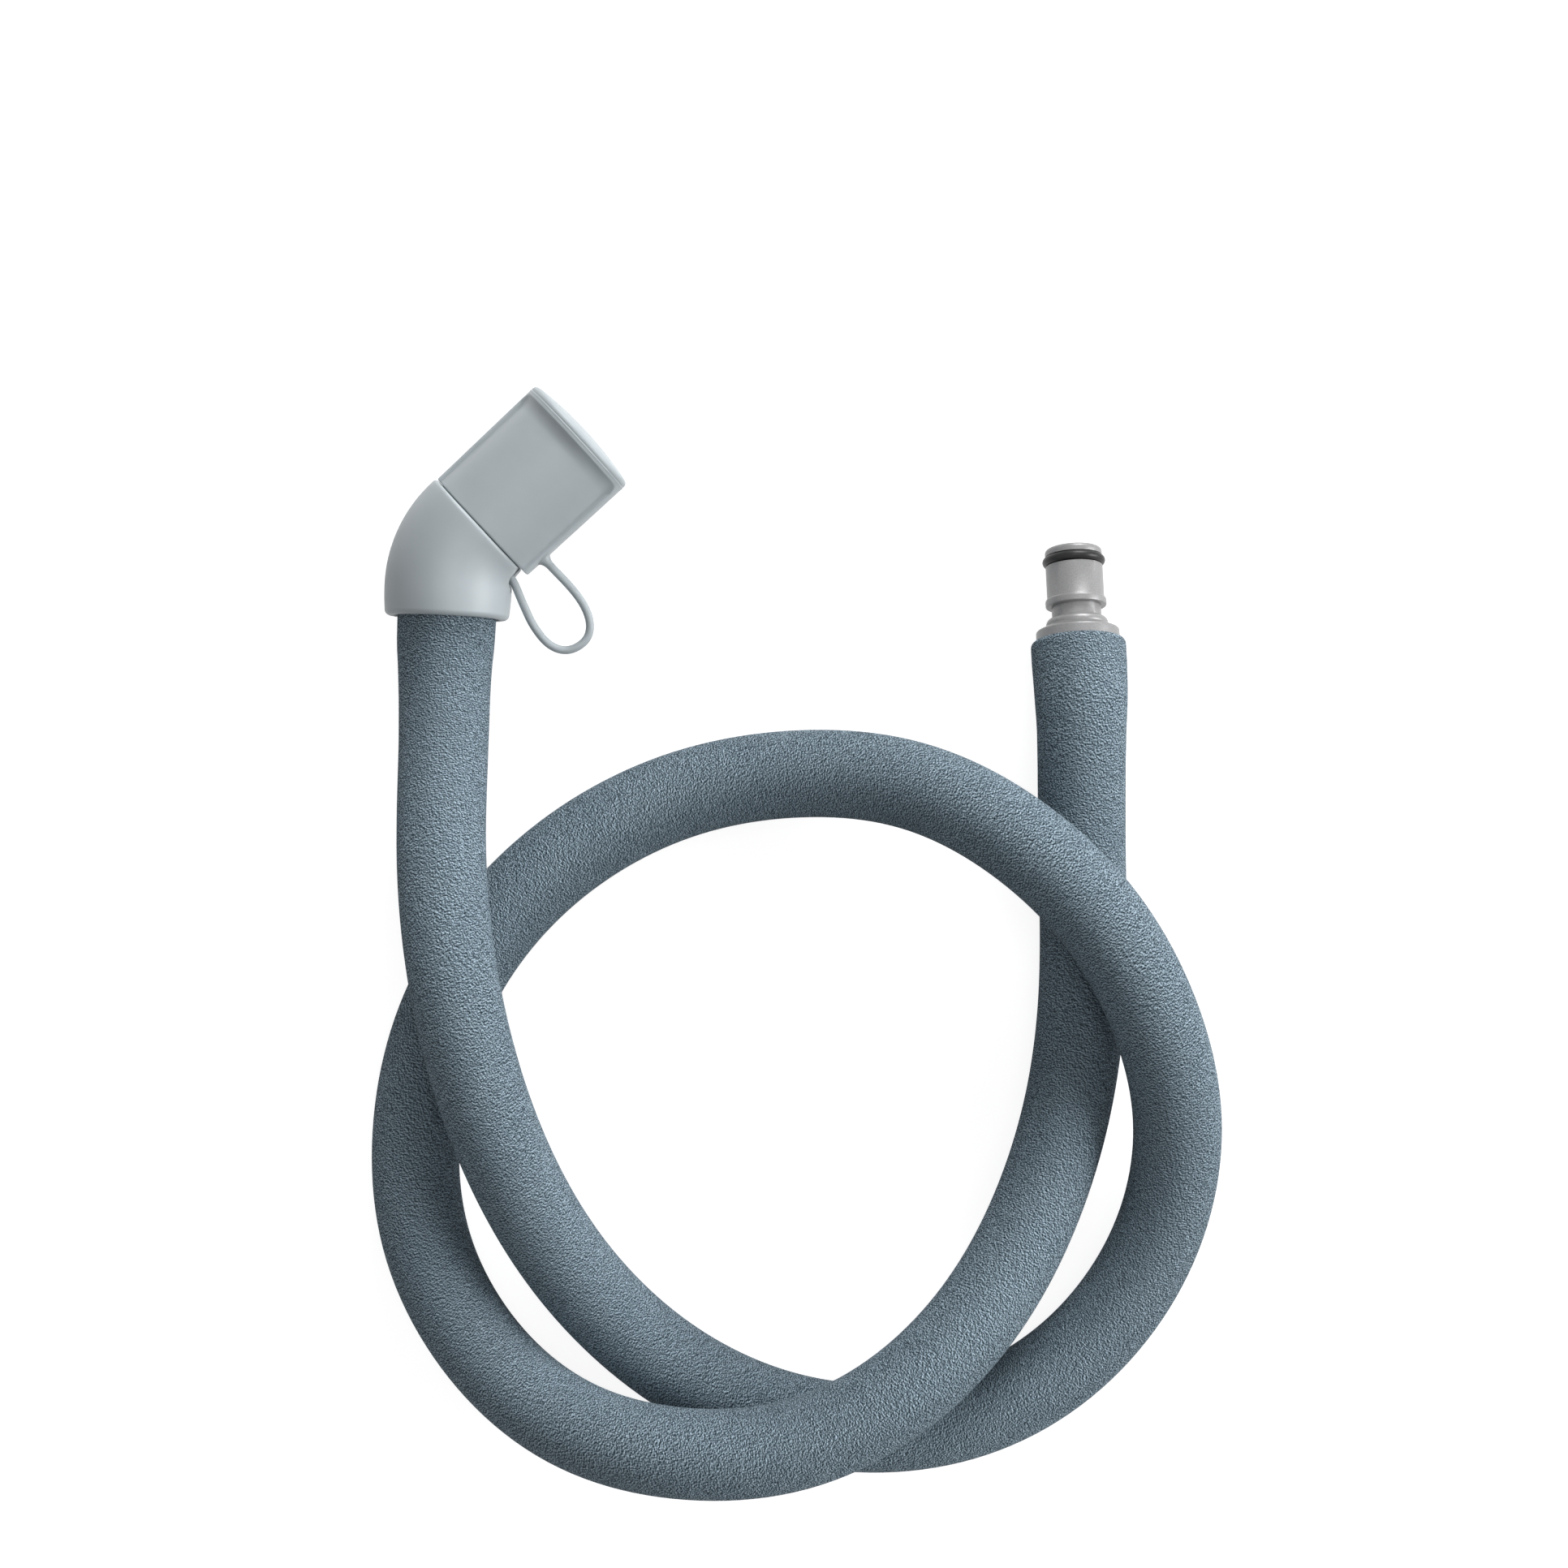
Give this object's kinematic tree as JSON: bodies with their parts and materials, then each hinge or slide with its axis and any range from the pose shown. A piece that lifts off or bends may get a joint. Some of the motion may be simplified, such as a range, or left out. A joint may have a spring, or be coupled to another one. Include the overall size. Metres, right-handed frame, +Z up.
{
  "type": "insulated drinking hose",
  "caption": "Foam-covered drinking hose in a loose overhand knot, with a tethered dust cap over a bite valve on a swivelling elbow and a quick-connect plug at the other end.",
  "frame": {"origin": "on the floor, midway between the two end fittings: the middle of the foot of the box round everything but the hose itself", "axes": "+Z up from the floor that the hose lies on; +Y along both ends of the hose, towards the fittings; +X from the elbow towards the plug"},
  "size_m": [0.1745, 0.2248, 0.0377],
  "materials": {
    "foam": "matt, slightly pebbled closed-cell foam, blue grey",
    "clear_tube": "clear, faintly blue soft tube",
    "plug_plastic": "satin, metallic grey",
    "seal_rubber": "black, smooth",
    "soft_cover": "matt, soft-touch, light blue grey",
    "valve_plastic": "fine matt, grey",
    "ring_steel": "plain",
    "mouth_rubber": "translucent, smooth"
  },
  "bodies": {
    "hose": {"foam_sleeve": "foam", "drinking_tube": "clear_tube", "plug_body": "plug_plastic", "plug_o_ring": "seal_rubber"},
    "elbow": {"elbow_cover": "soft_cover", "elbow_fitting": "valve_plastic", "elbow_o_ring": "seal_rubber", "valve_stem": "valve_plastic", "stem_o_rings": "seal_rubber", "snap_ring": "ring_steel", "tether_ring": "soft_cover", "cap_tether": "soft_cover"},
    "mouthpiece_twist": {"twist_collar": "valve_plastic", "mouthpiece": "mouth_rubber"},
    "cap": {"dust_cap": "soft_cover"}
  },
  "joints": [
    {"name": "elbow_swivel", "type": "hinge", "parent": "hose", "child": "elbow", "pos_m": [-0.0626, -0.0155, 0.0137], "axis": [-0.0436, -0.999, 0], "continuous": true},
    {"name": "mouthpiece_twist", "type": "hinge", "parent": "elbow", "child": "mouthpiece_twist", "pos_m": [-0.05538, 0.00304, 0.0137], "axis": [0.7314, 0.682, 0], "range_deg": [0, 90]},
    {"name": "cap_pull", "type": "slide", "parent": "elbow", "child": "cap", "axis": [0.7314, 0.682, 0], "range_m": [0, 0.026], "deforming": ["cap_tether"]}
  ]
}
